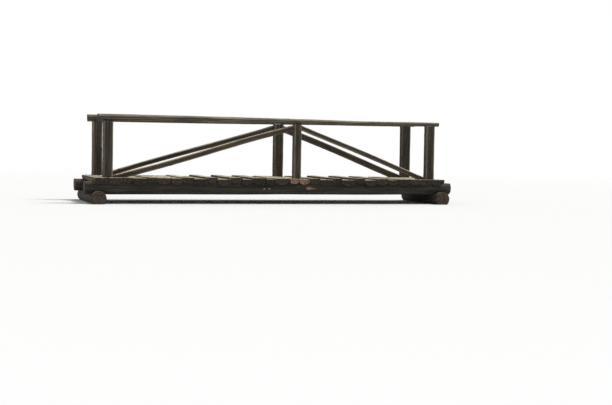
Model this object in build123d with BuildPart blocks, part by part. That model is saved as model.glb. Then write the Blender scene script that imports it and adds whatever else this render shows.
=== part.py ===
from build123d import *
import math
import os

# A log footbridge: half-log planks on two stringers, between two king-post trusses.
# X runs along the span, Y across it (the near truss is at -Y), Z is up.
# The origin is on the ground, at the middle of the bridge. Sizes are in millimetres.

# Overall layout
post_spacing = 5900
king_offset = 415
truss_spacing = 1200
deck_overhang = 250
stringer_overhang = 150
plank_overhang = 185
sill_overhang = 280

# Sill logs, hewn flat underneath
sill_radius = 130
sill_hewn = 35
sill_from_end = 220
saddle_depth = 45
saddle_clearance = 3

# Stringer logs, hewn flat on top
stringer_butt_radius = 137
stringer_tip_radius = 124
stringer_seat_above_axis = 88
stringer_seat_below_axis = 112
log_end_chamfer = 7

# Half-log deck planks
left_bay_planks = 16
right_bay_planks = 12
overhang_planks = 1
plank_width_variation = 0.22
plank_taper = 14
plank_gap = 9
plank_seat_thickness = 70
plank_edge_thickness = 24
plank_depth_share = 0.48
plank_most_depth = 112
plank_bearing_cut = 8
plank_rise = 16
plank_uneven_length = 18
plank_seat_clearance = 5
plank_notch_clearance = 4

# Turns of the sine that makes each plank a little different, in radians
width_turn = 2.6
width_start = 1.6
rise_turn = 2.85
rise_start = 4.9
length_turn = 2.1

# Posts, squared with waney corners
near_king_width = 142
far_king_width = 180
near_end_width = 168
far_end_width = 182
post_depth = 146
post_wane = 16
tenon_width = 52
tenon_thickness = 28
tenon_length = 55
tenon_clearance = 1
mortise_spare_depth = 5

# Struts, from each king post down to the foot of an end post
near_left_strut_depth = 100
near_right_strut_depth = 86
far_left_strut_depth = 90
far_right_strut_depth = 118
strut_width = 96
strut_wane = 12
strut_head_below_rail = 18
strut_nose = 32
strut_gain = 14
gain_clearance = 1

# Handrails, tapered poles hewn to many facets and flat on top; radii are to the facets
rail_height = 1060
rail_butt_radius = 74
rail_tip_radius = 43
rail_facets = 12
rail_hewn_share = 0.22
rail_overhang = 85
rail_fall = 40
rail_dap = 10
rail_end_chamfer = 6

# Each truss: its place, its posts' widths, its struts' depths and which end its logs' butts are
near_truss = {
    "y": -truss_spacing / 2,
    "king_width": near_king_width,
    "end_width": near_end_width,
    "strut_depths": {-1: near_left_strut_depth, 1: near_right_strut_depth},
    "butt_side": -1,
}
far_truss = {
    "y": truss_spacing / 2,
    "king_width": far_king_width,
    "end_width": far_end_width,
    "strut_depths": {-1: far_left_strut_depth, 1: far_right_strut_depth},
    "butt_side": 1,
}
trusses = {"near": near_truss, "far": far_truss}
sides = {-1: "left", 1: "right"}

# Heights and places that follow from the sizes above
deck_length = post_spacing + 2 * deck_overhang
stringer_length = deck_length + 2 * stringer_overhang
rail_length = post_spacing + max(near_end_width, far_end_width) + 2 * rail_overhang
plank_length = truss_spacing + 2 * plank_overhang
sill_length = truss_spacing + 2 * sill_overhang
sill_x = stringer_length / 2 - sill_from_end
end_post_x = post_spacing / 2
post_lines = [-end_post_x, king_offset, end_post_x]

sill_axis_z = sill_radius - sill_hewn
sill_crown_z = sill_axis_z + sill_radius
sill_seat_z = sill_crown_z - saddle_depth
stringer_axis_z = sill_seat_z + stringer_seat_below_axis
stringer_seat_z = stringer_axis_z + stringer_seat_above_axis
deck_z = stringer_seat_z + plank_seat_thickness

os.makedirs("parts", exist_ok=True)


def save(piece, name):
    """Label one finished piece and write it as its own node."""
    piece.label = name
    export_step(piece, f"parts/{name}.step")


# Logs

def tapered(x, length, left, right):
    """A size that changes evenly along a log centred on the origin."""
    return left + (right - left) * (x + length / 2) / length


def chord_half_width(radius, offset):
    """Half the width of a round log, measured at a height off its axis."""
    return math.sqrt(radius**2 - offset**2)


# Stringers

stringer_ends = (-stringer_length / 2, stringer_length / 2)


def stringer_radius(x, butt_side):
    """Radius of a stringer at a place along it."""
    radii = [stringer_butt_radius, stringer_tip_radius]
    if butt_side == 1:
        radii.reverse()
    return tapered(x, stringer_length, *radii)


def build_stringer(truss):
    """A tapered log seated on both sills, with a mortise for the foot of each post."""
    y = truss["y"]
    left_radius, right_radius = [stringer_radius(x, truss["butt_side"]) for x in stringer_ends]
    with BuildPart() as stringer:
        with Locations((0, y, stringer_axis_z)):
            Cone(left_radius, right_radius, stringer_length, rotation=(0, 90, 0))
        chamfer(stringer.edges().filter_by(GeomType.CIRCLE), log_end_chamfer)
        split(bisect_by=Plane.XY.offset(stringer_seat_z), keep=Keep.BOTTOM)
        # Flat daps where the log sits in the saddles of the sills
        with Locations((-sill_x, y, sill_seat_z), (sill_x, y, sill_seat_z)):
            Box(
                2 * sill_radius,
                3 * stringer_butt_radius,
                stringer_butt_radius,
                align=(Align.CENTER, Align.CENTER, Align.MAX),
                mode=Mode.SUBTRACT,
            )
        with Locations(*[(x, y, stringer_seat_z) for x in post_lines]):
            Box(
                tenon_width + 2 * tenon_clearance,
                tenon_width + 2 * tenon_clearance,
                tenon_length + mortise_spare_depth,
                align=(Align.CENTER, Align.CENTER, Align.MAX),
                mode=Mode.SUBTRACT,
            )
    return stringer.part


# Sills

def build_sill(x):
    """A transverse log, flat underneath, with a saddle for each stringer."""
    with BuildPart() as sill:
        with BuildSketch(Plane.XZ.offset(-sill_length / 2)):
            with Locations((x, sill_axis_z)):
                Circle(sill_radius)
            with Locations((x, 0)):
                Rectangle(
                    2 * sill_radius,
                    3 * sill_radius,
                    align=(Align.CENTER, Align.MIN),
                    mode=Mode.INTERSECT,
                )
        extrude(amount=sill_length)
        chamfer(sill.edges().filter_by(GeomType.CIRCLE), log_end_chamfer)
        for truss in trusses.values():
            radius = stringer_radius(x, truss["butt_side"])
            half_width = chord_half_width(radius, stringer_axis_z - sill_crown_z)
            with Locations((x, truss["y"], sill_seat_z)):
                Box(
                    3 * sill_radius,
                    2 * (half_width + saddle_clearance),
                    2 * saddle_depth,
                    align=(Align.CENTER, Align.CENTER, Align.MIN),
                    mode=Mode.SUBTRACT,
                )
    return sill.part


# Handrails

def rail_radius(x):
    """Radius of a handrail at a place along it."""
    return tapered(x, rail_length, rail_butt_radius, rail_tip_radius)


def rail_top(x):
    """Height of a handrail's flat top, which falls evenly from left to right."""
    return deck_z + rail_height - rail_fall * (x - king_offset) / rail_length


def rail_centre(x):
    """Height of the centre of a handrail's round at a place along it."""
    return rail_top(x) - rail_radius(x) * (1 - rail_hewn_share)


def post_top(x):
    """Height of a post's shoulder, let into the underside of the handrail."""
    return rail_centre(x) - rail_radius(x) + rail_dap


def build_handrail(truss):
    """A tapered pole with a flat top, dapped and mortised over the posts."""
    y = truss["y"]

    sections = []
    for side in sides:
        end_x = side * rail_length / 2
        inner_x = end_x - side * rail_end_chamfer
        sections.append((end_x, rail_radius(end_x) - rail_end_chamfer))
        sections.append((inner_x, rail_radius(end_x)))
    flat = Plane(
        origin=(0, y, rail_top(0)),
        x_dir=(rail_length, 0, -rail_fall),
        z_dir=(rail_fall, 0, rail_length),
    )
    with BuildPart() as rail:
        for x, radius in sorted(sections):
            with BuildSketch(Plane.YZ.offset(x)):
                with Locations((y, rail_centre(x))):
                    RegularPolygon(
                        radius,
                        rail_facets,
                        major_radius=False,
                        rotation=180 / rail_facets,
                    )
        loft(ruled=True)
        split(bisect_by=flat, keep=Keep.BOTTOM)
        for x in post_lines:
            width = truss["king_width"] if x == king_offset else truss["end_width"]
            with Locations((x, y, post_top(x))):
                Box(
                    width + 2 * tenon_clearance,
                    3 * rail_butt_radius,
                    rail_butt_radius,
                    align=(Align.CENTER, Align.CENTER, Align.MAX),
                    mode=Mode.SUBTRACT,
                )
                Box(
                    tenon_width + 2 * tenon_clearance,
                    tenon_thickness + 2 * tenon_clearance,
                    tenon_length + mortise_spare_depth,
                    align=(Align.CENTER, Align.CENTER, Align.MIN),
                    mode=Mode.SUBTRACT,
                )
    return rail.part


# Struts

def strut_outline(truss, side, clearance):
    """Side view of a strut: head, nose, toe, heel and underside of the head."""
    depth = truss["strut_depths"][side]
    head_x = king_offset + side * (truss["king_width"] / 2 - strut_gain)
    foot_x = side * (end_post_x - truss["end_width"] / 2 + strut_gain)
    head_z = post_top(king_offset) - strut_head_below_rail
    nose_z = deck_z + strut_nose
    slope = (head_z - nose_z) / abs(foot_x - head_x)
    head_under_z = head_z - depth * math.hypot(1, slope)
    heel_x = head_x + side * (head_under_z - deck_z) / slope
    return [
        (head_x, head_z + clearance),
        (foot_x, nose_z + clearance),
        (foot_x, deck_z - clearance),
        (heel_x, deck_z - clearance),
        (head_x, head_under_z - clearance),
    ]


def build_strut(truss, side):
    """A sloping timber with its head in the king post and its heel on the deck."""
    with BuildPart() as strut:
        with BuildSketch(Plane.XZ.offset(-truss["y"])):
            with BuildLine():
                Polyline(*strut_outline(truss, side, 0), close=True)
            make_face()
        extrude(amount=strut_width / 2, both=True)
        long_edges = strut.edges().filter_by(lambda edge: edge.length > post_spacing / 4)
        chamfer(long_edges, strut_wane)
    return strut.part


# Posts

def build_post(truss, x, width, gains):
    """A squared post with a tenon at each end and a gain for each strut."""
    y = truss["y"]
    shoulder_z = post_top(x)
    with BuildPart() as post:
        with Locations((x, y, stringer_seat_z)):
            Box(
                width,
                post_depth,
                shoulder_z - stringer_seat_z,
                align=(Align.CENTER, Align.CENTER, Align.MIN),
            )
        chamfer(post.edges().filter_by(Axis.Z), post_wane)
        with Locations((x, y, stringer_seat_z)):
            Box(
                tenon_width,
                tenon_width,
                tenon_length,
                align=(Align.CENTER, Align.CENTER, Align.MAX),
            )
        with Locations((x, y, shoulder_z)):
            Box(
                tenon_width,
                tenon_thickness,
                tenon_length,
                align=(Align.CENTER, Align.CENTER, Align.MIN),
            )
        for outline in gains:
            with BuildSketch(Plane.XZ.offset(-y)):
                with BuildLine():
                    Polyline(*outline, close=True)
                make_face()
            extrude(amount=strut_width / 2 + gain_clearance, both=True, mode=Mode.SUBTRACT)
    return post.part


# Deck

def bay_edges(start, end, count, bay, taper):
    """Edges of the planks that share one bay of the deck, at one end of the planks."""
    mean_width = (end - start) / count
    widths = []
    for k in range(count):
        variation = plank_width_variation * math.sin(width_turn * k + width_start + bay)
        widths.append(mean_width * (1 + variation) + taper * (-1) ** k)
    fit = (end - start) / sum(widths)
    edges = [start]
    for width in widths[:-1]:
        edges.append(edges[-1] + width * fit)
    return edges + [end]


def level_reach():
    """How far in from the end posts the planks stay level, to carry the struts' heels."""
    reach = 0
    for truss in trusses.values():
        for side in sides:
            head, nose, _, heel, _ = strut_outline(truss, side, 0)
            slope = (head[1] - nose[1]) / abs(head[0] - nose[0])
            reach = max(reach, end_post_x - abs(heel[0]) + plank_rise / slope)
    return reach


def build_plank(near_edges, far_edges, number):
    """A half-log plank, cut flat on the stringers and notched round the posts."""
    near_width = near_edges[1] - near_edges[0]
    near_middle = sum(near_edges) / 2
    middle = (near_middle + sum(far_edges) / 2) / 2
    outermost = max(abs(x) for x in near_edges + far_edges)
    level = outermost > end_post_x - level_reach()
    top_z = deck_z + (0 if level else plank_rise * math.sin(rise_turn * number + rise_start))
    edge_z = top_z - plank_edge_thickness
    length = plank_length - plank_uneven_length * (1 + math.sin(length_turn * number)) / 2
    width = max(near_width, far_edges[1] - far_edges[0])
    least_depth = plank_seat_thickness + plank_rise + plank_bearing_cut
    depth = min(max(plank_depth_share * width, least_depth), plank_most_depth)
    half_gap = plank_gap / 2
    plan = [
        (near_edges[0] + half_gap, -plank_length / 2),
        (near_edges[1] - half_gap, -plank_length / 2),
        (far_edges[1] - half_gap, plank_length / 2),
        (far_edges[0] + half_gap, plank_length / 2),
    ]
    with BuildPart() as plank:
        # The half log, flat side up
        with BuildSketch(Plane.XZ):
            left = middle - width / 2 - plank_taper
            right = middle + width / 2 + plank_taper
            with BuildLine():
                Polyline((left, edge_z), (left, top_z), (right, top_z), (right, edge_z))
                ThreePointArc((right, edge_z), (middle, top_z - depth), (left, edge_z))
            make_face()
        extrude(amount=length / 2, both=True)
        # Edges trimmed straight, butt and tip turned about from plank to plank
        with BuildSketch(Plane.XY.offset(top_z)):
            with BuildLine():
                Polyline(*plan, close=True)
            make_face()
        extrude(amount=-depth, mode=Mode.INTERSECT)
        for truss in trusses.values():
            y = truss["y"]
            radius = stringer_radius(near_middle, truss["butt_side"])
            with Locations((near_middle, y, stringer_seat_z)):
                Box(
                    2 * near_width,
                    2 * (radius + plank_seat_clearance),
                    plank_most_depth,
                    align=(Align.CENTER, Align.CENTER, Align.MAX),
                    mode=Mode.SUBTRACT,
                )
            for x in set(near_edges).intersection(post_lines):
                width = truss["king_width"] if x == king_offset else truss["end_width"]
                with Locations((x, y, deck_z)):
                    Box(
                        width + 2 * plank_notch_clearance,
                        post_depth + 2 * plank_notch_clearance,
                        3 * plank_most_depth,
                        mode=Mode.SUBTRACT,
                    )
    return plank.part


# The two trusses on their stringers
for name, truss in trusses.items():
    save(build_stringer(truss), f"stringer_{name}")
    save(build_handrail(truss), f"handrail_{name}")
    king_gains = []
    for side, side_name in sides.items():
        gain = strut_outline(truss, side, gain_clearance)
        king_gains.append(gain)
        end_post = build_post(truss, side * end_post_x, truss["end_width"], [gain])
        save(end_post, f"end_post_{name}_{side_name}")
        save(build_strut(truss, side), f"strut_{name}_{side_name}")
    king_post = build_post(truss, king_offset, truss["king_width"], king_gains)
    save(king_post, f"king_post_{name}")

# The sills
for side, side_name in sides.items():
    save(build_sill(side * sill_x), f"sill_{side_name}")

# The deck, laid bay by bay so that a joint between planks falls at each line of posts
bay_ends = [-deck_length / 2, *post_lines, deck_length / 2]
bay_counts = [overhang_planks, left_bay_planks, right_bay_planks, overhang_planks]
number = 0
for bay, count in enumerate(bay_counts):
    near = bay_edges(bay_ends[bay], bay_ends[bay + 1], count, bay, plank_taper)
    far = bay_edges(bay_ends[bay], bay_ends[bay + 1], count, bay, -plank_taper)
    for k in range(count):
        number += 1
        plank = build_plank(near[k : k + 2], far[k : k + 2], number)
        save(plank, f"deck_plank_{number:02d}")
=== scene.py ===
import math

import bpy
import numpy as np
from mathutils import Matrix, Vector


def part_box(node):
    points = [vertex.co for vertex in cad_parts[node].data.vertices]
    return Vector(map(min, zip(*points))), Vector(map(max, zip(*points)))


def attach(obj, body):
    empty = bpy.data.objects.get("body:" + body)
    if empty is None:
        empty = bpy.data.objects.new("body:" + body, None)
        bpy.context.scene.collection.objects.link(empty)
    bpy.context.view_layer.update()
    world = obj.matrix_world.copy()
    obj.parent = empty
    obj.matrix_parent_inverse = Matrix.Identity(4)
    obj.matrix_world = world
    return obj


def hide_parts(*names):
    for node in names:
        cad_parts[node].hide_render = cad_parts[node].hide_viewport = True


# A log footbridge. Each timber is swept along its grain to the shape of the CAD node that it
# stands for, and its skin is then hewn, checked and worn. Sizes are in metres.

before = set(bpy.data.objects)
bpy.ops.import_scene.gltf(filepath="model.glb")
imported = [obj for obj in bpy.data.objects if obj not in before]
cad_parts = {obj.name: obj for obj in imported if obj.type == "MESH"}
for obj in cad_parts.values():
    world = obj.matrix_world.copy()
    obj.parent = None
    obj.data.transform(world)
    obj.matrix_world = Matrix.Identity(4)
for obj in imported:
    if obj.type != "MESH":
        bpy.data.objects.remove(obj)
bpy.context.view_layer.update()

TRUSSES = ("near", "far")
SIDES = ("left", "right")
POSTS = [f"king_post_{truss}" for truss in TRUSSES]
POSTS += [f"end_post_{truss}_{side}" for truss in TRUSSES for side in SIDES]
STRUTS = [f"strut_{truss}_{side}" for truss in TRUSSES for side in SIDES]
PLANKS = sorted(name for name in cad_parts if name.startswith("deck_plank"))

# Sizes that the frame's boxes don't give
TENON_LENGTH = 0.055
POST_WANE = 0.016
STRUT_WANE = 0.012
LEAST_WANE = 0.0005
NOTCH_CLEARANCE = 0.004
RAIL_FACETS = 12
HEART_STRAY = 0.03
# A sill's saddles are clear of its ends, and a plank's belly lies below its top
SADDLE_CLEARANCE = 0.05
BELLY_BELOW_TOP = 0.015

# A step in the shape is a pair of rings this far to each side of it
STEP_HALF = 0.00025
# Vertices this close to a level are on it, and the skin isn't hewn where it rests on a level
LEVEL_TOLERANCE = 1e-4
LEVEL_FADE = 0.004
# A column close to each corner of an outline, and how many cells the larger curves have
CORNER_MARGIN = 0.004
ROUND_CELLS = 58
STRINGER_FLAT_CELLS = 20
SILL_FLAT_CELLS = 16
BELLY_POINTS = 23
# Rings of an end face, as shares of the way from the pith to the rim
CAP_RINGS = (0.9, 0.76, 0.6, 0.44, 0.28, 0.13)

# Knots are longer than wide, mark the wood for a few radii, and keep clear of one another
KNOT_STRETCH = 1.35
KNOT_REACH = 3.0
KNOT_FAR = 3 * KNOT_REACH
KNOT_SPACING = 4.2

# How near to a corner the wood is rounded off, and how near it is rubbed pale
ARRIS_REACH = 0.0045
RUBBED_REACH = 0.007
SHARP_TURN = math.radians(22)
# Half the width of a check where it is shut, and the largest share of its column
SHUT_CHECK = 0.0004
WIDEST_CHECK = 0.22


# The frame's shapes

def vertices(node):
    """A CAD node's vertices."""
    return np.array([vertex.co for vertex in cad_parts[node].data.vertices])


def round_ends(node, bevel):
    """A CAD node's vertices at its left and its right end, and the radius of each end."""
    points = vertices(node)
    gaps = [np.abs(points[:, 0] - corner[0]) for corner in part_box(node)]
    ends = [points[gap < bevel + LEVEL_TOLERANCE] for gap in gaps]
    return ends, [np.ptp(end[:, 1]) / 2 for end in ends]


def middle_of(node, row):
    """The middle of a CAD node along x, y or z."""
    low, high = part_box(node)
    return (low[row] + high[row]) / 2


def points_at(points, row, value):
    """The points whose x, y or z is at a value."""
    return points[np.abs(points[:, row] - value) < LEVEL_TOLERANCE]


def spread(values):
    """Lowest and highest value."""
    return values.min(), values.max()


# Randomness

def smoothstep(t):
    """An even ease from 0 to 1."""
    return t * t * (3 - 2 * t)


def waves(rng, along, step):
    """Smooth random values from -1 to 1 along a timber, turning about once a step."""
    place = (along - along.min()) / step
    cell = place.astype(int)
    turns = rng.uniform(-1, 1, cell.max() + 2)
    return turns[cell] + (turns[cell + 1] - turns[cell]) * smoothstep(place - cell)


def ripples(rng, along, around, girth, step_along, step_around):
    """Smooth random values from -1 to 1 over a timber's skin, closed round its girth."""
    u = (along - along.min()) / step_along
    count = max(3, round(girth / step_around))
    v = around / girth * count
    row = u.astype(int)
    column = v.astype(int)
    lattice = rng.uniform(-1, 1, (row.max() + 2, count))
    ease_u = smoothstep(u - row)[:, None]
    ease_v = smoothstep(v - column)
    before = lattice[:, column % count]
    after = lattice[:, (column + 1) % count]
    rows = before * (1 - ease_v) + after * ease_v
    return rows[row] + (rows[row + 1] - rows[row]) * ease_u


# Sweeping a timber

AXIS_ROWS = {"x": (0, 1, 2), "y": (1, 0, 2), "z": (2, 0, 1)}


def placed(axis, along, across, up):
    """Points from their coordinates along and across the grain."""
    points = np.empty(np.broadcast(along, across, up).shape + (3,))
    for row, values in zip(AXIS_ROWS[axis], (along, across, up)):
        points[..., row] = values
    return points


def stations_along(start, end, finish, breaks=()):
    """Places of the rings, with a close pair at each step in the shape."""
    count = round((end - start) / finish["step"]) + 1
    even = np.linspace(start + finish["bevel"], end - finish["bevel"], count)
    for place in breaks:
        even = even[np.abs(even - place) > 4 * STEP_HALF]
    pairs = [place + side * STEP_HALF for place in breaks for side in (-1, 1)]
    return np.sort(np.append(even, pairs))


def line_at(along, across, up):
    """A line along a timber, such as its pith, from numbers or a value at each ring."""
    return np.stack(np.broadcast_arrays(across, up, along)[:2], axis=-1)


def outline_at(along, corners):
    """A timber's outline at each ring."""
    return np.stack([line_at(along, *corner) for corner in corners], axis=1)


def cut_flat(corners, along, start, end, level, cut=np.maximum):
    """Cuts a timber off flat at a height, between two places along it."""
    inside = (along > start) & (along < end)
    corners[inside, :, 1] = cut(corners[inside, :, 1], level)


def edge_steps(length, cell):
    """Places along one edge of a section, with one close to each of its corners."""
    if length < 3 * CORNER_MARGIN:
        return np.zeros(1)
    inner = length - 2 * CORNER_MARGIN
    places = CORNER_MARGIN + np.linspace(0, inner, max(2, round(inner / cell) + 1))
    return np.append(0, places) / length


def columns_round(corners, cell):
    """A ring's points at each station, and the edge of the outline that each lies on."""
    middle = corners[len(corners) // 2]
    lengths = np.linalg.norm(np.roll(middle, -1, axis=0) - middle, axis=1)
    sides = np.roll(corners, -1, axis=1) - corners
    columns = []
    edges = []
    for edge, length in enumerate(lengths):
        shares = edge_steps(length, cell)
        columns += [corners[:, edge] + sides[:, edge] * t for t in shares]
        edges += [edge] * len(shares)
    return np.stack(columns, axis=1), np.array(edges)


def check_opening(rng, along, finish):
    """How wide and deep one line of drying checks is open along a timber."""
    opening = np.zeros(len(along))
    start, end = spread(along)
    place = start + rng.uniform(-0.6, 0.25) * finish["check_length"]
    while place < end:
        length = finish["check_length"] * rng.uniform(0.35, 1.3)
        t = np.clip((along - place) / length, 0, 1)
        opening = np.maximum(opening, np.sqrt(4 * t * (1 - t)) * rng.uniform(0.35, 1))
        place += length * rng.uniform(1.05, 2.2)
    for gap in (along - start, end - along):
        run = rng.uniform(0.3, 0.8) * finish["check_length"]
        open_end = rng.uniform(0.4, 1) * (rng.random() < finish["split_ends"])
        opening = np.maximum(opening, open_end * np.clip(1 - gap / run, 0, 1) ** 0.7)
    return opening * (0.8 + 0.2 * waves(rng, along, 0.05))


def open_checks(rng, along, rings, edges, finish):
    """Adds three columns for each line of checks, with how far each column is open."""
    following = np.roll(rings, -1, axis=1)
    sides = np.linalg.norm(following - rings, axis=2)
    wide = np.flatnonzero(sides[len(sides) // 2] > finish["cell"] * 0.6)
    lines = min(finish["check_lines"], len(wide))
    chosen = set(rng.choice(wide, size=lines, replace=False))
    shut = np.zeros(len(along))
    columns = []
    for i in range(rings.shape[1]):
        columns.append((rings[:, i], edges[i], shut, shut))
        if i not in chosen:
            continue
        opening = check_opening(rng, along, finish)
        centre = 0.5 + 0.2 * waves(rng, along, 0.16)
        half = np.maximum(finish["check_width"] * opening / 2, SHUT_CHECK) / sides[:, i]
        for side in (-1, 0, 1):
            t = (centre + side * np.minimum(half, WIDEST_CHECK))[:, None]
            column = rings[:, i] + (following[:, i] - rings[:, i]) * t
            columns.append((column, edges[i], opening * (side == 0), opening))
    rings, edges, openings, lips = zip(*columns)
    return *(np.stack(values, axis=1) for values in (rings, openings, lips)), np.array(edges)


def outward(rings):
    """Unit normals of the columns, in the plane of each ring."""
    tangent = np.roll(rings, -1, axis=1) - np.roll(rings, 1, axis=1)
    normal = np.stack([tangent[..., 1], -tangent[..., 0]], axis=-1)
    normal /= np.maximum(np.linalg.norm(normal, axis=-1, keepdims=True), 1e-9)
    from_middle = rings - rings.mean(axis=1, keepdims=True)
    return normal * np.sign((normal * from_middle).sum(axis=-1).mean())


def from_corner(ring, around, girth):
    """How far round the ring each column is from the nearest sharp corner."""
    step = np.roll(ring, -1, axis=0) - ring
    heading = np.arctan2(step[:, 1], step[:, 0])
    turn = np.abs(np.angle(np.exp(1j * (heading - np.roll(heading, 1)))))
    gap = np.abs(around[:, None] - around[turn > SHARP_TURN])
    return np.minimum(gap, girth - gap).min(axis=1)


def tool_marks(rng, along, edges, finish):
    """Shallow scallops left by the adze, each face with its own run of them."""
    marks = np.zeros((len(along), len(edges)))
    for edge in finish.get("mark_edges", np.unique(edges)):
        cuts = [along.min() - rng.uniform(0, 0.1)]
        while cuts[-1] < along.max():
            cuts.append(cuts[-1] + rng.uniform(*finish["mark_length"]))
        cuts = np.array(cuts)
        depths = rng.uniform(0.25, 1, len(cuts)) * finish["mark_depth"]
        cell = np.searchsorted(cuts, along, side="right") - 1
        t = (along - cuts[cell]) / (cuts[cell + 1] - cuts[cell])
        marks[:, edges == edge] = (depths[cell] * 4 * t * (1 - t))[:, None]
    return marks


def knot_field(rng, points, finish):
    """Distance and place from the nearest knot, the skin's swelling and the grain's parting."""
    from_knot = np.full(points.shape, KNOT_FAR)
    nearest = from_knot[..., 0].copy()
    swelling = np.zeros(nearest.shape)
    parting = np.zeros(nearest.shape + (2,))
    knots = list(finish.get("pruned_knots", ()))
    for _ in range(finish["knots"]):
        place = points[rng.integers(2, len(points) - 2), rng.integers(points.shape[1])]
        radius = rng.uniform(*finish["knot_radius"])
        gaps = [np.linalg.norm(place - other) / (radius + size) for other, size in knots]
        if min(gaps, default=KNOT_SPACING) >= KNOT_SPACING:
            knots.append((place, radius))
    for centre, radius in knots:
        away = (points - centre) / (KNOT_STRETCH, 1, 1)
        share = np.linalg.norm(away, axis=-1) / radius
        nearer = share < nearest
        nearest[nearer] = share[nearer]
        from_knot[nearer] = away[nearer] / radius
        swelling += finish["knot_swell"] * np.exp(-1.1 * share**4)
        parting -= 0.8 * np.exp(-((share / 1.9) ** 2))[..., None] * away[..., 1:]
    return nearest, from_knot, swelling, parting


def spot_field(points, spots):
    """How strongly each point lies in soft ovals, each a centre and two half sizes."""
    share = np.zeros(points.shape[:2])
    for centre, half_length, half_width in spots:
        away = (points - centre) / (half_length, half_width, half_width)
        share = np.maximum(share, np.exp(-(away**2).sum(axis=-1)))
    return share


def carve(rng, along, rings, edges, openings, finish):
    """Moves the skin in and out as the axe, the weather and the tree left it."""
    points = placed("x", along[:, None], rings[..., 0], rings[..., 1])
    normals = outward(rings)
    middle = rings[len(rings) // 2]
    steps = np.linalg.norm(np.roll(middle, -1, axis=0) - middle, axis=1)
    around = np.append(0, np.cumsum(steps)[:-1])
    girth = steps.sum()
    corner_gap = from_corner(middle, around, girth)
    depth = np.full(rings.shape[:2], finish["inset"])
    for step_along, step_around, height in finish["ripples"]:
        depth -= height * ripples(rng, along, around, girth, step_along, step_around)
    if finish["mark_depth"]:
        depth += tool_marks(rng, along, edges, finish)
    rounding = np.exp(-((corner_gap / ARRIS_REACH) ** 2))
    wear = 1 + 0.6 * ripples(rng, along, around, girth, 0.14, girth / 9)
    chips = np.clip(ripples(rng, along, around, girth, 0.045, girth / 14) - 0.55, 0, 1)
    depth += finish["arris"] * rounding * (wear + 3.2 * chips)
    nearest, from_knot, swelling, parting = knot_field(rng, points, finish)
    depth = np.maximum(depth - swelling, 0)
    depth += finish["check_depth"] * openings**0.7
    if "dish" in finish:
        depth += finish["dish"](along, normals)
    for level in finish.get("levels", ()):
        depth *= np.clip(np.abs(rings[..., 1] - level) / LEVEL_FADE, 0, 1)
    if "snug_end" in finish:
        depth *= np.clip((along.max() - along) / finish["snug_end"], 0, 1)[:, None]
    skin = rings - normals * depth[..., None]
    if "crook" in finish:
        skin += finish["crook"](along)[:, None]
    # Painted flecks of sunlight, then rust stains round the spikes
    spots = [spot_field(points, finish.get(kind, ())) for kind in ("bare", "stains")]
    return skin, normals, corner_gap, nearest, from_knot, parting, spots


def end_cap(rng, ring, normal, pith, place, outside, opening, finish):
    """Rings of one end face, from rim to pith, with their places and how each is split."""
    place += outside * finish["bevel"]
    rim = ring - normal * finish["bevel"]
    rows = [rim]
    places = [place - outside * finish["end_split"] * opening]
    splits = [opening]
    phase = rng.uniform(0, 2 * math.pi, 3)
    turn = np.arctan2(ring[:, 1] - pith[1], ring[:, 0] - pith[0])
    for share in CAP_RINGS:
        rows.append(pith + (rim - pith) * share)
        rough = sum(np.sin(k * turn + phase[k % 3] + 9 * share) for k in (2, 5, 9)) / 3
        split = opening * np.clip((share - 0.2) / 0.5, 0, 1)
        sunk = finish["end_rough"] * (1 + rough) / 2 + finish["end_split"] * split
        places.append(place - outside * sunk)
        splits.append(split)
    return rows, places, splits


def tube_faces(rows, columns):
    """Quads of a closed tube of rings."""
    row = np.arange(rows - 1)[:, None] * columns
    here = np.arange(columns)
    there = (here + 1) % columns
    quads = np.stack([row + here, row + there, row + columns + there, row + columns + here], axis=-1)
    return quads.reshape(-1, 4)


def fan_faces(first, columns, centre):
    """Triangles from one ring to a centre."""
    here = np.arange(columns)
    return np.stack([first + here, np.full(columns, centre), first + (here + 1) % columns], axis=-1)


def mesh_object(name, points, faces, materials, face_materials, sharp_angle):
    """A new object from arrays, smooth but for its sharp edges."""
    mesh = bpy.data.meshes.new(name)
    mesh.from_pydata(points.tolist(), [], faces)
    for material in materials:
        mesh.materials.append(material)
    mesh.polygons.foreach_set("material_index", face_materials)
    mesh.shade_smooth()
    mesh.set_sharp_from_angle(angle=math.radians(sharp_angle))
    thing = bpy.data.objects.new(name, mesh)
    bpy.context.collection.objects.link(thing)
    return thing


def add_attribute(thing, name, *parts):
    """A vector for each vertex, from its three parts, which the materials read."""
    values = np.stack(np.broadcast_arrays(*parts), axis=-1).astype(np.float32)
    layer = thing.data.attributes.new(name, "FLOAT_VECTOR", "POINT")
    layer.data.foreach_set("vector", values.ravel())


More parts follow.
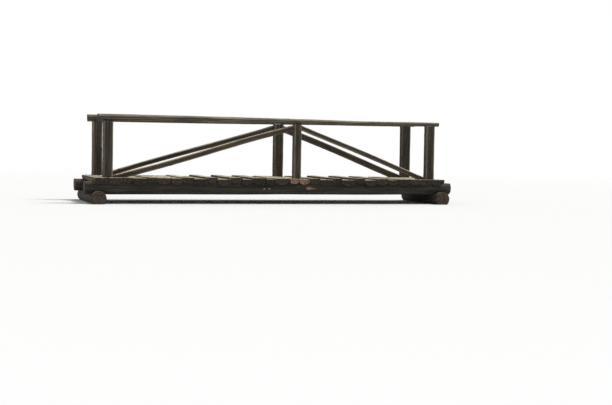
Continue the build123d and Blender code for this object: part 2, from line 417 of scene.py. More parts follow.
def build_timber(node, axis, along, corners, pith, finish):
    """Replaces a CAD node with a timber of the same shape and a hewn, weathered skin."""
    seed = sum(ord(letter) * (k + 3) for k, letter in enumerate(node))
    rng = np.random.default_rng(seed)
    rings, edges = columns_round(corners, finish["cell"])
    rings, openings, lips, edges = open_checks(rng, along, rings, edges, finish)
    carved = carve(rng, along, rings, edges, openings, finish)
    skin, normals, corner_gap, nearest, from_knot, parting, spots = carved

    if "crook" in finish:
        pith = pith + finish["crook"](along)
    left, right = (
        end_cap(rng, skin[end], normals[end], pith[end], along[end], outside, openings[end], finish)
        for end, outside in ((0, -1), (-1, 1))
    )
    columns = skin.shape[1]
    skin_places = np.repeat(along[:, None], columns, axis=1)
    section, places, splits = (
        np.concatenate([before[::-1], between, after])
        for before, between, after in zip(left, (skin, skin_places, openings), right)
    )
    cap = len(left[0])
    hearts = np.pad(pith, ((cap, cap), (0, 0)), mode="edge")
    points = placed(axis, places, section[..., 0], section[..., 1]).reshape(-1, 3)
    ends = [placed(axis, places[row].mean(), *hearts[row]) for row in (0, -1)]
    points = np.concatenate([points, ends])

    rows = len(section)
    last = rows * columns
    quads = tube_faces(rows, columns)
    right_fan = fan_faces(last - columns, columns, last + 1)[:, ::-1]
    fans = np.concatenate([fan_faces(0, columns, last), right_fan])
    # A negative volume shows that the faces look inward
    a, b, c, d = (points[quads[:, i]] for i in range(4))
    if (np.cross(c - a, d - b) * a).sum() < 0:
        quads = quads[:, ::-1]
        fans = fans[:, ::-1]
    on_cap = np.ones(rows - 1, dtype=int)
    on_cap[cap - 1 : 1 - cap] = 0
    face_materials = np.append(np.repeat(on_cap, columns), np.ones(len(fans), dtype=int))
    faces = quads.tolist() + fans.tolist()
    materials = WOODS[finish["slot"]]
    timber = mesh_object(f"timber_{node}", points, faces, materials, face_materials, 34)

    from_pith = section - hearts[:, None]
    from_pith[cap:-cap] += parting
    offset = rng.uniform(0, 40, 3) * (1, 0, 0)
    grain = placed("x", places, from_pith[..., 0], from_pith[..., 1]) + offset
    grain = np.concatenate([grain.reshape(-1, 3), [grain[0].mean(axis=0), grain[-1].mean(axis=0)]])
    add_attribute(timber, "grain", *grain.T)

    def over_all(values, on_ends=0.0):
        """A value for each vertex, from those on the skin and one for both ends."""
        rows = np.pad(values, ((cap, cap), (0, 0)), constant_values=on_ends)
        return np.append(rows, [on_ends, on_ends])

    # How far each column faces up: the silvering there is also painted sunlight
    lit = normals[..., 1] * (axis != "z")
    # Painted shade inside the checks and along their lips
    check_shade = np.maximum(np.append(splits, [0, 0]), over_all(lips) * 0.35)
    add_attribute(timber, "feature", check_shade, over_all(lit), over_all(nearest, KNOT_FAR))
    add_attribute(timber, "knot", *(over_all(from_knot[..., row], KNOT_FAR) for row in range(3)))
    rubbed = np.tile(np.exp(-((corner_gap / RUBBED_REACH) ** 2)), (len(along), 1))
    tone = finish.get("tone", rng.uniform(-1, 1))
    add_attribute(timber, "weather", over_all(rubbed), points[:, 2], tone)
    add_attribute(timber, "marks", *map(over_all, spots), 0)

    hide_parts(node)
    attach(timber, "root")
    return points[:last]


# Materials, with colours as red, green and blue from 0 to 255

def linear(shade):
    """A colour as Blender's nodes take it."""
    share = np.array(shade) / 255
    return (*np.where(share > 0.04045, ((share + 0.055) / 1.055) ** 2.4, share / 12.92), 1)


def sign(operation):
    """A method that works out a sum."""
    return lambda value, *others: value.graph.math(operation, value, *others)


class Value:
    """What a node gives, which can be added, multiplied and so on."""

    __add__ = sign("ADD")
    __radd__ = sign("ADD")
    __sub__ = sign("SUBTRACT")
    __mul__ = sign("MULTIPLY")
    __truediv__ = sign("DIVIDE")
    __abs__ = sign("ABSOLUTE")

    def __init__(self, graph, socket):
        self.graph = graph
        self.socket = socket

    def noise(self, scale, detail, roughness=0.55):
        """Noise over a vector, stretched by a scale along each axis."""
        stretched = self.graph.add("VectorMath", {0: self, 1: scale}, operation="MULTIPLY")
        inputs = {"Vector": stretched, "Scale": 1.0, "Detail": detail, "Roughness": roughness}
        return self.graph.add("TexNoise", inputs, "Fac")

    def fit(self, low, high, to_low=0.0, to_high=1.0):
        """The value carried from one range to another, and held inside it."""
        return self.graph.add("MapRange", enumerate((self, low, high, to_low, to_high)))

    def wave(self):
        """A wave from -1 to 1 that repeats each time the value grows by one."""
        return self.graph.math("SINE", self * (2 * math.pi))

    def ramp(self, *stops):
        """Colours along the value."""
        ramped = self.graph.add("ValToRGB", {0: self})
        elements = ramped.socket.node.color_ramp.elements
        while len(elements) < len(stops):
            elements.new(0.5)
        for element, (place, shade) in zip(elements, stops):
            element.position = place
            element.color = linear(shade)
        return ramped


class Graph:
    """The nodes of a new material or world."""

    def __init__(self, name, kind="materials"):
        self.holder = getattr(bpy.data, kind).new(name)
        self.holder.use_nodes = True
        self.tree = self.holder.node_tree
        self.tree.nodes.clear()

    def add(self, kind, inputs=(), output=0, **settings):
        """One output of a new node, with its inputs given by name or number."""
        node = self.tree.nodes.new("ShaderNode" + kind)
        for key, value in settings.items():
            setattr(node, key, value)
        for key, value in dict(inputs).items():
            if isinstance(value, Value):
                self.tree.links.new(value.socket, node.inputs[key])
            else:
                node.inputs[key].default_value = value
        return Value(self, node.outputs[output]) if node.outputs else None

    def math(self, operation, *values):
        """The result of one sum."""
        return self.add("Math", enumerate(values), operation=operation)

    def blend(self, share, under, over, mode="MIX"):
        """One colour over another."""
        shades = [shade if isinstance(shade, Value) else linear(shade) for shade in (under, over)]
        inputs = {0: share, 6: shades[0], 7: shades[1]}
        return self.add("Mix", inputs, 2, data_type="RGBA", blend_type=mode)

    def attribute(self, name):
        """A vector attribute and its three parts."""
        vector = self.add("Attribute", (), "Vector", attribute_name=name)
        split = self.add("SeparateXYZ", {0: vector}).socket.node
        return vector, [Value(self, part) for part in split.outputs]

    def finish(self, base, roughness, height, distance, specular=0.3, metallic=0.0):
        """The surface itself."""
        bump = self.add("Bump", {"Height": height, "Distance": distance, "Strength": 1.0})
        inputs = {"Base Color": base, "Roughness": roughness, "Normal": bump}
        inputs.update({"Specular IOR Level": specular, "Metallic": metallic})
        self.add("OutputMaterial", {"Surface": self.add("BsdfPrincipled", inputs)})
        return self.holder


# Noises that make up the fibres, each with its scale, detail and share
FIBRE_LAYERS = (((1.1, 42, 42), 2, 0.4), ((2.2, 130, 130), 2, 0.36), ((5, 380, 380), 1, 0.24))
# Pale pinkish colours of the painted sunlight on the near stringer
SUN_FLECK_WOOD = ((0.42, (128, 100, 84)), (0.56, (196, 166, 148)))
KNOT_CORE = ((0.36, (26, 20, 15)), (0.66, (88, 70, 54)))
KNOT_RIM = (20, 16, 13)
RUST_STAIN = (40, 32, 27)
# Darker, greener colour towards the ground
LOW_DOWN_DARK = (44, 44, 34)
# Painted sunlight on the two plank ends at the king posts: its colour, and the tone that marks those
# planks
SUNLIT_END_COLOUR = (156, 127, 109)
SUNLIT_END_TONE = 2.0
RUST = ((0.36, (40, 30, 26)), (0.52, (86, 54, 38)), (0.68, (120, 78, 52)))


def weathered_wood(name, fibres, bleached_and_sunlit, bleach_and_sunlit_share):
    """Bare wood, silvered where the sky reaches it and there painted sunlit too, with painted shade
    in its checks.
    """
    dark, middle, light = fibres
    graph = Graph(name)
    grain, _ = graph.attribute("grain")
    from_knot, _ = graph.attribute("knot")
    _, (check_shade, lit, nearest) = graph.attribute("feature")
    _, (edge, height, tone) = graph.attribute("weather")
    _, (bare, stain, _) = graph.attribute("marks")

    # Fibres along the grain, and fine open cracks between them
    fibre = sum(grain.noise(scale, detail) * share for scale, detail, share in FIBRE_LAYERS)
    fine = grain.noise((26, 620, 620), 2)
    broad = grain.noise((1.6, 9, 9), 3)
    patches = grain.noise((3.4, 24, 24), 4, 0.62)
    shakes = abs(grain.noise((1.9, 62, 62), 2) - 0.5).fit(0, 0.016, 1, 0)
    figure = fibre * 0.74 + fine * 0.14 + broad * 0.12
    wood = figure.ramp((0.39, dark), (0.5, middle), (0.61, light))

    # Silvered where the sky reaches it, which is also painted sunlight on the upward faces, and pale
    # where edges are rubbed, in each timber's own tone
    patchy = patches.fit(0.34, 0.56, 0.5, 1)
    silvered_and_sunlit = lit.fit(0.3, 0.72) * patchy * bleach_and_sunlit_share
    worn = graph.math("MAXIMUM", silvered_and_sunlit, edge * patchy * 0.3)
    streaky = graph.blend(fibre.fit(0.41, 0.57, 0.42, 0), bleached_and_sunlit, dark)
    wood = graph.blend(worn, wood, streaky)
    level = (tone.fit(-1, 1, -1, 1) * 0.14 + broad).fit(0.25, 0.75, 0.62, 1.16)
    grey = graph.add("CombineColor", {0: level, 1: level, 2: level})
    wood = graph.blend(1.0, wood, grey, "MULTIPLY")

    # Painted sunlight: pale pinkish flecks with ragged edges on the near stringer, and dark round
    # the spikes
    ragged_fleck = fibre * 1.5 + patches * 0.9 - 1.2
    bare_share = ragged_fleck * bare.fit(0.05, 0.4) + bare
    wood = graph.blend(bare_share.fit(0.38, 0.66, 0, 0.9), wood, figure.ramp(*SUN_FLECK_WOOD))
    wood = graph.blend(stain * fibre.fit(0.35, 0.6, 1, 0.45) * 0.75, wood, RUST_STAIN)

    # Knots, ringed and dark, with a darker rim
    knot = graph.add("VectorMath", {0: from_knot}, "Value", operation="LENGTH")
    knot = knot + nearest.fit(0.7 * KNOT_REACH, KNOT_REACH, 0, KNOT_REACH)
    core_rings = graph.math("SINE", knot * 21.0 + patches * 9.0)
    core = (core_rings * 0.06 + from_knot.noise((2.2, 2.2, 2.2), 4)).ramp(*KNOT_CORE)
    wood = graph.blend(knot.fit(0.85, 1.05, 0.9, 0), wood, core)
    wood = graph.blend(abs(knot - 1.0).fit(0, 0.14, 0.6, 0), wood, KNOT_RIM)

    # Darker and greener towards the ground, then cracks, and checks with painted shade in them
    low_down_share = height.fit(0.02, 0.5, 0.65, 0) * patches.fit(0.42, 0.6)
    wood = graph.blend(low_down_share, wood, LOW_DOWN_DARK)
    wood = graph.blend(shakes * 0.6, wood, (20, 16, 14))
    # Painted shade in the checks
    wood = graph.blend(check_shade * 0.94, wood, (13, 11, 9))
    relief = fibre * 0.8 + fine * 0.35 - shakes * 0.7
    return graph.finish(wood, fibre.fit(0.3, 0.7, 0.92, 0.74), relief, 0.0016)


def end_grain(name, dark, light, ring_width):
    """A sawn end: growth rings round the pith, fine rays and drying cracks."""
    graph = Graph(name)
    grain, (_, across, up) = graph.attribute("grain")
    _, (check_shade, _, _) = graph.attribute("feature")
    _, (_, _, tone) = graph.attribute("weather")
    radius = graph.math("SQRT", across * across + up * up)
    rings = (radius / ring_width + grain.noise((1, 22, 22), 3) * 3.4).wave()
    angle = graph.math("ARCTAN2", up, across)
    fan = graph.add("CombineXYZ", {0: angle * 2.3, 1: radius * 7.0})
    rays = fan.noise((1, 1, 1), 5, 0.7)
    splits = abs(rays - 0.5).fit(0, 0.011, 1, 0)
    blotches = grain.noise((1, 30, 30), 5, 0.65)
    share = rings * 0.055 + blotches * 0.75 + rays * 0.25 + tone.fit(-1, 1, -1, 1) * 0.08
    wood = share.ramp((0.38, dark), (0.7, light))
    # Painted sunlight on the pale plank ends
    sunlit_end = tone.fit(0.6 * SUNLIT_END_TONE, SUNLIT_END_TONE) * blotches.fit(0.36, 0.6, 0.2, 0.9)
    wood = graph.blend(sunlit_end, wood, SUNLIT_END_COLOUR)
    wood = graph.blend(splits * 0.65, wood, (26, 21, 17))
    # Painted shade in the sawn end's splits
    wood = graph.blend(check_shade * 0.97, wood, (12, 10, 8))
    relief = rings * 0.2 + grain.noise((1, 520, 520), 2) * 0.8 - splits
    return graph.finish(wood, blotches.fit(0.3, 0.7, 0.95, 0.82), relief, 0.0012)


def cut_wood(name, dark, light, rings):
    """The small cut ends of pegs and of branches, with a few rings and a dark heart."""
    graph = Graph(name)
    where = graph.add("TexCoord", (), "Object")
    _, (reach, _, _) = graph.attribute("stud")
    blotches = where.noise((90, 90, 90), 4)
    turned = reach * rings + where.noise((130, 130, 130), 2) * 1.6
    wood = (turned.wave() * 0.07 + blotches).ramp((0.36, dark), (0.64, light))
    wood = graph.blend(reach.fit(0.02, 0.16, 0.7, 0), wood, (40, 32, 26))
    wood = graph.blend(reach.fit(0.82, 1.0, 0, 0.75), wood, (44, 38, 32))
    fuzz = where.noise((700, 700, 700), 2)
    return graph.finish(wood, blotches.fit(0.35, 0.65, 0.8, 0.94), fuzz, 0.0008)


def rusty_iron():
    """Old spike heads, brown with rust."""
    graph = Graph("rusty_iron")
    where = graph.add("TexCoord", (), "Object")
    blotches = where.noise((160, 160, 160), 4)
    grit = where.noise((900, 900, 900), 2)
    roughness = blotches.fit(0.35, 0.65, 0.62, 0.9)
    return graph.finish(blotches.ramp(*RUST), roughness, grit, 0.0006, 0.5, 0.35)


# Each wood's dark, middle and light fibres, its bleached colour (also painted sunlight on upward
# faces) and how far that goes, the two colours of its sawn ends, and the width of its growth rings
SILVER_AND_SUNLIT = (226, 212, 182)
DECK_LOOKS = (((40, 34, 28), (76, 66, 54), (116, 103, 85)), (218, 204, 174), 0.95)
RAIL_LOOKS = (((30, 26, 22), (56, 49, 42), (84, 75, 64)), SILVER_AND_SUNLIT, 1.0)
LOG_LOOKS = (((29, 26, 23), (56, 51, 45), (86, 78, 69)), (140, 130, 113), 0.6)
POST_LOOKS = (((30, 26, 22), (57, 50, 42), (88, 78, 66)), SILVER_AND_SUNLIT, 0.95)
WOOD_LOOKS = {
    "deck_wood": (DECK_LOOKS, (24, 21, 18), (66, 58, 50), 0.0055),
    "rail_wood": (RAIL_LOOKS, (40, 34, 29), (98, 85, 72), 0.0045),
    "log_wood": (LOG_LOOKS, (40, 34, 29), (104, 90, 76), 0.006),
    "post_wood": (POST_LOOKS, (40, 34, 29), (98, 85, 72), 0.005),
}
WOODS = {
    slot: [weathered_wood(f"{slot}_sides", *skin), end_grain(f"{slot}_ends", *cut)]
    for slot, (skin, *cut) in WOOD_LOOKS.items()
}
iron = rusty_iron()
peg_wood = cut_wood("peg_wood", (58, 49, 40), (128, 112, 92), 3)
branch_wood = cut_wood("branch_wood", (84, 78, 68), (158, 148, 130), 5)


# Finishes: how the deck, the logs, the handrails and the squared timbers are hewn and worn

FINISH_TABLE = {
    "slot": ("deck_wood", "log_wood", "rail_wood", "post_wood"),
    "step": (0.022, 0.025, 0.03, 0.02),
    "cell": (0.012, 0.0105, 0.0105, 0.012),
    "bevel": (0.003, 0.007, 0.006, 0.002),
    "inset": (0.0015, 0.002, 0.0008, 0.001),
    # Each ripple's length along, its length around and its height
    "ripples": (
        ((0.3, 0.1, 0.0014), (0.09, 0.035, 0.0007), (0.4, 0.013, 0.0006)),
        ((0.7, 0.3, 0.0022), (0.2, 0.09, 0.0012), (0.5, 0.014, 0.0007)),
        ((0.6, 0.12, 0.0014), (0.16, 0.05, 0.0008), (0.4, 0.011, 0.0006)),
        ((0.5, 0.12, 0.0014), (0.14, 0.05, 0.0008), (0.35, 0.012, 0.0006)),
    ),
    "arris": (0.0035, 0.003, 0.0025, 0.003),
    "mark_depth": (0.0016, None, 0.0012, 0.0018),
    "mark_length": ((0.06, 0.16), None, (0.09, 0.24), (0.06, 0.15)),
    "check_lines": (6, 9, 6, 5),
    "check_width": (0.0055, 0.006, 0.0055, 0.0055),
    "check_depth": (0.016, 0.02, 0.013, 0.015),
    "check_length": (0.5, 1.1, 0.9, 0.5),
    "split_ends": (0.6, 0.6, 0.6, 0.4),
    "knots": (3, 12, 10, 4),
    "knot_radius": ((0.012, 0.026), (0.02, 0.036), (0.012, 0.024), (0.012, 0.026)),
    "knot_swell": (0.0022, 0.004, 0.0024, 0.0018),
    "end_rough": (0.002, 0.003, 0.002, 0.001),
    "end_split": (0.012, 0.02, 0.014, 0.01),
}
FINISHES = [{key: values[kind] for key, values in FINISH_TABLE.items()} for kind in range(4)]
DECK_FINISH, LOG_FINISH, RAIL_FINISH, SQUARED_FINISH = FINISHES
STRUT_STEP = 0.022
POST_SNUG_END = 0.03

# Marks seen on the near stringer: two pruned branches, and a painted fleck of sunlight with a thin
# painted highlight as its tail
PRUNED_KNOTS = (((-0.213, -0.73, 0.271), 0.021), ((-0.121, -0.73, 0.272), 0.019))
SUN_FLECK_PATCHES = (((0.615, -0.73, 0.277), 0.06, 0.03), ((0.665, -0.73, 0.272), 0.1, 0.009))

# How far a timber strays from its line between its joints. A strut's second bend is up near its
# head and down near its foot.
RAIL_RISES = {"near": (0.003, -0.010), "far": (-0.004, 0.003)}
RAIL_SWAYS = (0.004, -0.005)
STRUT_SWAY = 0.005
STRUT_BENDS = dict(zip(STRUTS, ((0, -0.012), (0.01, 0), (0.004, 0.006), (0.012, -0.003))))


# Logs: stringers and sills

def log_section(along, radius, across, axis_up, flat_up, flat_cells):
    """A round log's outline, with one side hewn flat at a height."""
    side = np.sign(flat_up - axis_up)
    start = np.arcsin((flat_up - axis_up) / radius) * side
    turn = np.pi + 2 * start
    angles = [start - turn * k / ROUND_CELLS for k in range(ROUND_CELLS)]
    arc = [(across + radius * np.cos(a), axis_up + side * radius * np.sin(a)) for a in angles]
    half = radius * np.cos(start)
    flat = [(across + half * (-1 + 2 * k / flat_cells), flat_up) for k in range(flat_cells)]
    return outline_at(along, arc + flat)


def build_stringer(truss):
    """A tapered log, flat on top, let down over the sills."""
    node = f"stringer_{truss}"
    points = vertices(node)
    low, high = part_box(node)
    across = middle_of(node, 1)
    axis_up = low[2] + (high[1] - low[1]) / 2
    _, radii = round_ends(node, LOG_FINISH["bevel"])
    saddles = [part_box(f"sill_{side}") for side in SIDES]
    edges = [corner[0] for saddle in saddles for corner in saddle]
    saddle_up = min(points_at(points, 0, edge)[:, 2].min() for edge in edges[1:3])
    along = stations_along(low[0], high[0], LOG_FINISH, edges)
    radius = np.interp(along, (low[0], high[0]), radii)
    corners = log_section(along, radius, across, axis_up, high[2], STRINGER_FLAT_CELLS)
    for start, end in saddles:
        cut_flat(corners, along, start[0], end[0], saddle_up)
    finish = dict(LOG_FINISH, levels=(high[2], saddle_up))
    if truss == "near":
        finish.update(pruned_knots=PRUNED_KNOTS, bare=SUN_FLECK_PATCHES)
    return build_timber(node, "x", along, corners, line_at(along, across, axis_up), finish)


def build_sill(side):
    """A log across the end of the bridge, flat below, with a saddle for each stringer."""
    node = f"sill_{side}"
    points = vertices(node)
    low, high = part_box(node)
    radius = (high[0] - low[0]) / 2
    across = middle_of(node, 0)
    axis_up = high[2] - radius
    clear_of_ends = np.abs(points[:, 1]) < high[1] - SADDLE_CLEARANCE
    saddle_up = points[(points[:, 2] > axis_up) & clear_of_ends, 2].min()
    saddle_floors = points_at(points, 2, saddle_up)[:, 1]
    start, end = spread(saddle_floors[saddle_floors > 0])
    along = stations_along(low[1], high[1], LOG_FINISH, [-end, -start, start, end])
    corners = log_section(along, radius, across, axis_up, low[2], SILL_FLAT_CELLS)
    cut_flat(corners, np.abs(along), start, end, saddle_up, np.minimum)
    finish = dict(LOG_FINISH, levels=(low[2], saddle_up), check_lines=6, knots=5)
    build_timber(node, "y", along, corners, line_at(along, across, axis_up), finish)


# Handrails, posts and struts

def shoulder_height(post):
    """Height of a post's shoulder, under the handrail."""
    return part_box(post)[1][2] - TENON_LENGTH


def crook_between(joints, rises, sways):
    """A timber's stray from its line: nothing at its joints and most between them."""
    def stray(along):
        offset = np.zeros((len(along), 2))
        for start, end, rise, sway in zip(joints, joints[1:], rises, sways):
            t = np.clip((along - start) / (end - start), 0, 1)
            offset += np.outer(np.sin(math.pi * t) ** 2, (sway, rise))
        return offset

    return stray


def build_handrail(truss):
    """A tapered pole hewn to facets and flat on top."""
    node = f"handrail_{truss}"
    low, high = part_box(node)
    posts = [post for post in POSTS if truss in post]
    edges = [corner[0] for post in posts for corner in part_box(post)]
    along = stations_along(low[0], high[0], RAIL_FINISH, edges)
    ends, radii = round_ends(node, RAIL_FINISH["bevel"])
    tops = [end[:, 2].max() for end in ends]
    radius = np.interp(along, (low[0], high[0]), radii)
    # The outline for a radius of 1: the hewn flat, then the other facets' corners
    hewn = (tops[0] - ends[0][:, 2].min()) / radii[0] - 1
    facet = 360 / RAIL_FACETS
    reach = 1 / math.cos(math.radians(facet / 2))
    beside = math.radians(2 * facet)
    flat_half = (1 - hewn * math.sin(beside)) / math.cos(beside)
    outline = [(-flat_half, hewn), (flat_half, hewn)]
    for k in range(RAIL_FACETS - 2):
        angle = math.radians(1.5 * facet - facet * k)
        outline.append((reach * math.cos(angle), reach * math.sin(angle)))
    centre = np.interp(along, (low[0], high[0]), tops) - radius * hewn
    pith = line_at(along, middle_of(node, 1), centre)
    corners = np.array(outline) * radius[:, None, None] + pith[:, None]
    for post in posts:
        start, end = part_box(post)
        cut_flat(corners, along, start[0], end[0], shoulder_height(post))
    joints = sorted(middle_of(post, 0) for post in posts)
    finish = dict(RAIL_FINISH, crook=crook_between(joints, RAIL_RISES[truss], RAIL_SWAYS))
    return build_timber(node, "x", along, corners, pith, finish)


def waney_box(along, left, right, low_up, high_up, wane_low, wane_high):
    """A squared timber's outline, with its corners taken off."""
    top = [(left + wane_high, high_up), (right - wane_high, high_up)]
    right_side = [(right, high_up - wane_high), (right, low_up + wane_low)]
    bottom = [(right - wane_low, low_up), (left + wane_low, low_up)]
    left_side = [(left, low_up + wane_low), (left, high_up - wane_high)]
    return outline_at(along, top + right_side + bottom + left_side)


def build_post(node):
    """A squared post between its stringer and its handrail."""
    low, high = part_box(node)
    along = stations_along(low[2] + TENON_LENGTH, shoulder_height(node), SQUARED_FINISH)
    corners = waney_box(along, low[0], high[0], low[1], high[1], POST_WANE, POST_WANE)
    rng = np.random.default_rng(len(node) * 7 + ord(node[-1]))
    heart = [middle_of(node, 0), middle_of(node, 1)] + rng.uniform(-HEART_STRAY, HEART_STRAY, 2)
    finish = dict(SQUARED_FINISH, snug_end=POST_SNUG_END)
    build_timber(node, "z", along, corners, line_at(along, *heart), finish)


def strut_ends(node):
    """Where a strut's head and its foot end along the span."""
    low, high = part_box(node)
    return (high[0], low[0]) if "left" in node else (low[0], high[0])


def build_strut(node):
    """A sloping timber from the top of a king post to the foot of an end post."""
    points = vertices(node)
    low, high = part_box(node)
    head, foot = strut_ends(node)
    at_head = points_at(points, 0, head)[:, 2]
    at_foot = points_at(points, 0, foot)[:, 2]
    on_deck = points_at(points, 2, low[2])[:, 0]
    heel = on_deck[np.argmin(np.abs(on_deck - head))]
    finish = dict(SQUARED_FINISH, step=STRUT_STEP, levels=(low[2],), knots=6, check_length=0.8)
    along = stations_along(low[0], high[0], finish)
    upper = np.interp(along, *zip(*sorted([(head, at_head.max()), (foot, at_foot.max())])))
    slope = (at_head.min() - low[2]) / (head - heel)
    lower = np.maximum(low[2], low[2] + slope * (along - heel))
    height = upper - lower
    wane_high = np.minimum(STRUT_WANE, height / 3)
    wane_low = np.clip((lower - low[2]) / 2, LEAST_WANE, STRUT_WANE)
    corners = waney_box(along, low[1], high[1], lower, upper, wane_low, wane_high)
    pith = line_at(along, middle_of(node, 1), upper - height[len(height) // 2] / 2)
    pith[:, 1] = np.clip(pith[:, 1], lower + height * 0.3, upper - height * 0.3)
    rise, skew = STRUT_BENDS[node]

    def stray(places):
        t = np.clip((places - head) / (heel - head), 0, 1)
        up = rise * np.sin(math.pi * t) ** 2 - skew * np.sin(2 * math.pi * t)
        return np.stack([STRUT_SWAY * np.sin(2 * math.pi * t), up * (t < 1)], axis=-1)

    finish["crook"] = stray
    return build_timber(node, "x", along, corners, pith, finish)


# Deck

# A plank is spiked twice over each stringer, this share of its width and this far over
SPIKE_SHARE = 0.27
SPIKE_STAGGER = 0.03
SPIKE_STRAY = (0.012, 0.015)
SPIKE_POST_GAP = 0.02
STAIN_HALF_SIZES = (0.045, 0.016)
DISH_DEPTH = 0.003
DISH_HALF_WIDTH = 0.33
PITH_BELOW_TOP = 0.012


def belly_circle(rim):
    """The circle that a half log's round underside lies on."""
    table = np.column_stack([2 * rim[:, 0], 2 * rim[:, 2], np.ones(len(rim))])
    across, up, rest = np.linalg.lstsq(table, (rim[:, 0] ** 2 + rim[:, 2] ** 2), rcond=None)[0]
    return across, up, math.sqrt(rest + across**2 + up**2)


def walked_dish(along, normals):
    """A plank's top is worn hollow along the middle of the deck."""
    worn = DISH_DEPTH * np.exp(-((along / DISH_HALF_WIDTH) ** 2))
    return worn[:, None] * np.clip(normals[..., 1], 0, 1)


def spikes_in(node, rng):
    """Where a plank is spiked to the stringers, clear of the posts."""
    low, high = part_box(node)
    posts = [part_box(post) for post in POSTS]
    places = []
    for truss in TRUSSES:
        for side in (-1, 1):
            x = middle_of(node, 0) + side * SPIKE_SHARE * (high[0] - low[0])
            y = middle_of(f"stringer_{truss}", 1) + side * SPIKE_STAGGER
            x += rng.uniform(-SPIKE_STRAY[0], SPIKE_STRAY[0])
            y += rng.uniform(-SPIKE_STRAY[1], SPIKE_STRAY[1])
            gaps = [max(post[0][0] - x, x - post[1][0]) for post in posts]
            if min(gaps) >= SPIKE_POST_GAP:
                places.append((x, y))
    return places


def build_plank(node, spikes):
    """A half log, flat side up, cut down on the stringers and round the posts."""
    points = vertices(node)
    low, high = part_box(node)
    ends = low[1], high[1]
    on_top = points_at(points, 2, high[2])
    edges = [spread(points_at(on_top, 1, end)[:, 0]) for end in ends]
    rim = points_at(points, 1, low[1])
    belly_across, belly_up, belly_radius = belly_circle(rim[rim[:, 2] < high[2] - BELLY_BELOW_TOP])
    seat_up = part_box("stringer_near")[1][2]
    on_seats = points_at(points, 2, seat_up)[:, 1]
    seats = [spread(on_seats[on_seats * side > 0]) for side in (-1, 1)]
    clearance = [[-NOTCH_CLEARANCE], [NOTCH_CLEARANCE]]
    notches = [np.add(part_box(post), clearance) for post in POSTS]
    notches = [(start, end) for start, end in notches if start[0] < high[0] and end[0] > low[0]]
    breaks = np.unique(seats + [(start[1], end[1]) for start, end in notches])
    along = stations_along(low[1], high[1], DECK_FINISH, breaks)
    left, right = (np.interp(along, ends, side) for side in zip(*edges))
    sides_sum = left.mean() + right.mean()
    for start, end in notches:
        beside = (along > start[1]) & (along < end[1])
        if start[0] + end[0] > sides_sum:
            right[beside] = np.minimum(right[beside], start[0])
        else:
            left[beside] = np.maximum(left[beside], end[0])
    corners = [(left, high[2]), (right, high[2])]
    for share in np.linspace(0, 1, BELLY_POINTS):
        x = right + (left - right) * share
        corners.append((x, belly_up - np.sqrt(belly_radius**2 - (x - belly_across) ** 2)))
    corners = outline_at(along, corners)
    for start, end in seats:
        cut_flat(corners, along, start, end, seat_up)
    heart = ((left + right) / 2)[[0, -1]]
    pith = line_at(along, np.interp(along, ends, heart), high[2] - PITH_BELOW_TOP)
    stains = [((y, x, high[2]), *STAIN_HALF_SIZES) for x, y in spikes]
    finish = dict(DECK_FINISH, mark_edges=(0,), levels=(seat_up,), dish=walked_dish, stains=stains)
    # The two planks at the king posts have paler ends than the rest: painted sunlight
    king_line = middle_of("king_post_near", 0)
    if any(start[0] < king_line < end[0] for start, end in notches):
        finish["tone"] = SUNLIT_END_TONE
    return build_timber(node, "y", along, corners, pith, finish)


# Spikes, pegs and branch stubs: each profile runs from the foot to the top, as a share of the
# radius and a height

STUB_PROFILE = ((1.25, -0.014), (1.05, 0.004), (0.96, 0.008), (0.84, 0.0095), (0.4, 0.009))
SPIKE_PROFILE = ((1.0, -0.004), (1.0, 0.0014), (0.8, 0.0026), (0.4, 0.0034))
PEG_PROFILE = ((1.0, -0.01), (1.0, 0.0035), (0.88, 0.0048), (0.45, 0.0042))
STUD_TILT = 0.09
# How far a strut's spikes are from its head and from its foot, and a peg's share of the tenon
HEAD_SPIKES = (0.09, 0.15)
FOOT_SPIKES = (0.12, 0.2)
FOOT_PEG = 0.6
TOP_PEG = 0.45
# How close to a head's place the skin is looked at, from above and from the side
TOP_REACH = 0.014
SIDE_REACH = 0.02


def build_studs(name, places, radius, segments, profile, material):
    """One piece with a small round head at each place, given as a point and a direction."""
    rng = np.random.default_rng(len(name))
    angles = 2 * math.pi * np.arange(segments) / segments
    shares, heights = np.array(profile).T
    top = (len(profile) - 1) * segments
    quads = tube_faces(len(profile), segments)
    lid = fan_faces(top, segments, top + segments)[:, ::-1]
    points = []
    faces = []
    for centre, direction in places:
        turn = Vector(direction).to_track_quat("Z", "Y").to_matrix()
        for axis in "XY":
            turn = turn @ Matrix.Rotation(rng.uniform(-STUD_TILT, STUD_TILT), 3, axis)
        reach = radius * shares[:, None] * rng.uniform(0.92, 1.06, segments)
        rings = placed("x", reach * np.cos(angles), reach * np.sin(angles), heights[:, None])
        head = np.append(rings.reshape(-1, 3), [(0, 0, heights[-1] * 1.05)], axis=0)
        first = len(points) * len(head)
        points.append(head @ np.array(turn).T + centre)
        faces += (quads + first).tolist() + (lid + first).tolist()
        faces.append([first + k for k in reversed(range(segments))])
    no_materials = np.zeros(len(faces), dtype=int)
    heads = mesh_object(name, np.concatenate(points), faces, [material], no_materials, 40)
    reaches = np.append(np.repeat(shares, segments), 0)
    add_attribute(heads, "stud", np.tile(reaches, len(places)), 0, 0)
    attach(heads, "root")


def surface_at(skin, x, y):
    """The highest point of a timber's skin close to a place in plan."""
    gap = np.hypot(skin[:, 0] - x, skin[:, 1] - y)
    close = skin[gap < gap.min() + TOP_REACH]
    return close[np.argmax(close[:, 2])]


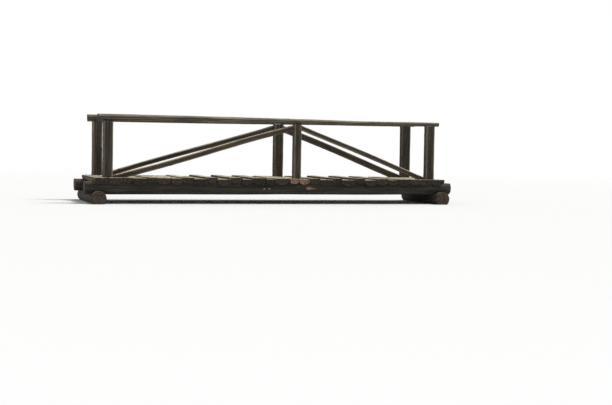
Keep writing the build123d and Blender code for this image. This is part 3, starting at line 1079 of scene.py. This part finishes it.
def side_at(skin, x, level, side):
    """The outermost point on one side of a timber at a height, and the way it faces."""
    close = skin[np.hypot(skin[:, 0] - x, skin[:, 2] - level) < SIDE_REACH]
    y = (close[:, 1] * side).max() * side
    axis = sum(spread(skin[:, 1])) / 2
    centre = sum(spread(skin[np.abs(skin[:, 0] - x) < 1.5 * SIDE_REACH, 2])) / 2
    return (x, y, level), (0, y - axis, 0.6 * (level - centre))


# Building

stringer_skins = {truss: build_stringer(truss) for truss in TRUSSES}
rail_skins = {truss: build_handrail(truss) for truss in TRUSSES}
for side in SIDES:
    build_sill(side)
for node in POSTS:
    build_post(node)
strut_skins = {node: build_strut(node) for node in STRUTS}

spike_rng = np.random.default_rng(11)
deck_spikes = []
for node in PLANKS:
    places = spikes_in(node, spike_rng)
    skin = build_plank(node, places)
    deck_spikes += [((x, y, surface_at(skin, x, y)[2]), (0, 0, 1)) for x, y in places]
build_studs("deck_spikes", deck_spikes, 0.0095, 12, SPIKE_PROFILE, iron)

strut_spikes = []
for node, skin in strut_skins.items():
    low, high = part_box(node)
    head, foot = strut_ends(node)
    toward_foot = math.copysign(1, foot - head)
    slope = (high[2] - low[2]) / (high[0] - low[0]) * toward_foot
    places = [head + toward_foot * gap for gap in HEAD_SPIKES]
    places += [foot - toward_foot * gap for gap in FOOT_SPIKES]
    for x in places:
        y = middle_of(node, 1) + spike_rng.uniform(-0.014, 0.014)
        strut_spikes.append((surface_at(skin, x, y), (slope, 0, 1)))
build_studs("strut_spikes", strut_spikes, 0.011, 12, SPIKE_PROFILE, iron)

pegs = []
for node in POSTS:
    truss = "near" if "near" in node else "far"
    low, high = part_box(node)
    foot_peg = (stringer_skins[truss], low[2] + FOOT_PEG * TENON_LENGTH)
    top_peg = (rail_skins[truss], high[2] - TOP_PEG * TENON_LENGTH)
    for skin, level in (foot_peg, top_peg):
        pegs += [side_at(skin, middle_of(node, 0), level, side) for side in (-1, 1)]
build_studs("oak_pegs", pegs, 0.0125, 14, PEG_PROFILE, peg_wood)

stubs = [side_at(stringer_skins["near"], x, z, -1) for (x, _, z), _ in PRUNED_KNOTS]
build_studs("pruned_branches", stubs, 0.019, 18, STUB_PROFILE, branch_wood)


# Floor, light and camera

FLOOR_REACH = 40
FLOOR_FADE = (9.0, 26.0)
FLOOR_COLOUR = (0.8, 0.8, 0.79, 1)
SUN_STRENGTH = 2.8
SUN_WIDTH = math.radians(14)
SUN_FROM = (0.5, -0.1, 0.86)
SKY_STRENGTH = 0.45
WHITE = (1, 1, 1, 1)
PHOTO_WIDTH = 612
FOCAL_PIXELS = 1350
CAMERA_PLACE = (-6.613, -23.556, 1.2)
# Yaw to the right, pitch up from straight down, and roll to the left
CAMERA_TURNS = ((-17.45, "Z"), (90 - 2.8, "X"), (0.96, "Z"))


def build_floor():
    """A pale floor that fades to white all round and doesn't show from below."""
    graph = Graph("studio_floor")
    where = graph.add("TexCoord", (), "Object")
    far = graph.add("VectorMath", {0: where}, "Value", operation="LENGTH")
    behind = graph.add("NewGeometry", (), "Backfacing")
    hidden = graph.math("MAXIMUM", far.fit(*FLOOR_FADE), behind)
    shader = graph.add("BsdfDiffuse", {"Color": FLOOR_COLOUR})
    clear = graph.add("BsdfTransparent")
    mixed = graph.add("MixShader", {0: hidden, 1: shader, 2: clear})
    graph.add("OutputMaterial", {"Surface": mixed})
    corners = np.array([(-1, -1, 0), (1, -1, 0), (1, 1, 0), (-1, 1, 0)]) * FLOOR_REACH
    floor = mesh_object("studio_floor", corners, [(0, 1, 2, 3)], [graph.holder], [0], 34)


def light_scene():
    """A soft sun from high on the right, and an even sky that shows as white."""
    sun = bpy.data.lights.new("soft_sun", "SUN")
    sun.energy = SUN_STRENGTH
    sun.angle = SUN_WIDTH
    lamp = bpy.data.objects.new("soft_sun", sun)
    lamp.matrix_world = Vector(SUN_FROM).to_track_quat("Z", "Y").to_matrix().to_4x4()
    bpy.context.collection.objects.link(lamp)
    graph = Graph("studio_world", "worlds")
    seen = graph.add("LightPath", (), "Is Camera Ray")
    for ray in ("Transmission", "Glossy"):
        seen = graph.math("MAXIMUM", seen, graph.add("LightPath", (), f"Is {ray} Ray"))
    sky = graph.add("Background", {"Color": WHITE, "Strength": SKY_STRENGTH})
    shown = graph.add("Background", {"Color": WHITE, "Strength": 1.0})
    mixed = graph.add("MixShader", {0: seen, 1: sky, 2: shown})
    graph.add("OutputWorld", {"Surface": mixed})
    bpy.context.scene.world = graph.holder


def add_camera():
    """The photograph's camera: to the left of square on, and 1.2 m above the foot of the sills."""
    data = bpy.data.cameras.new("photo_camera")
    data.lens = FOCAL_PIXELS / PHOTO_WIDTH * data.sensor_width
    data.clip_end = 400
    camera = bpy.data.objects.new("photo_camera", data)
    camera.matrix_world = Matrix.Translation(CAMERA_PLACE)
    for angle, axis in CAMERA_TURNS:
        camera.matrix_world @= Matrix.Rotation(math.radians(angle), 4, axis)
    bpy.context.collection.objects.link(camera)
    bpy.context.scene.camera = camera


build_floor()
light_scene()
add_camera()
bpy.context.scene.view_settings.view_transform = "Standard"
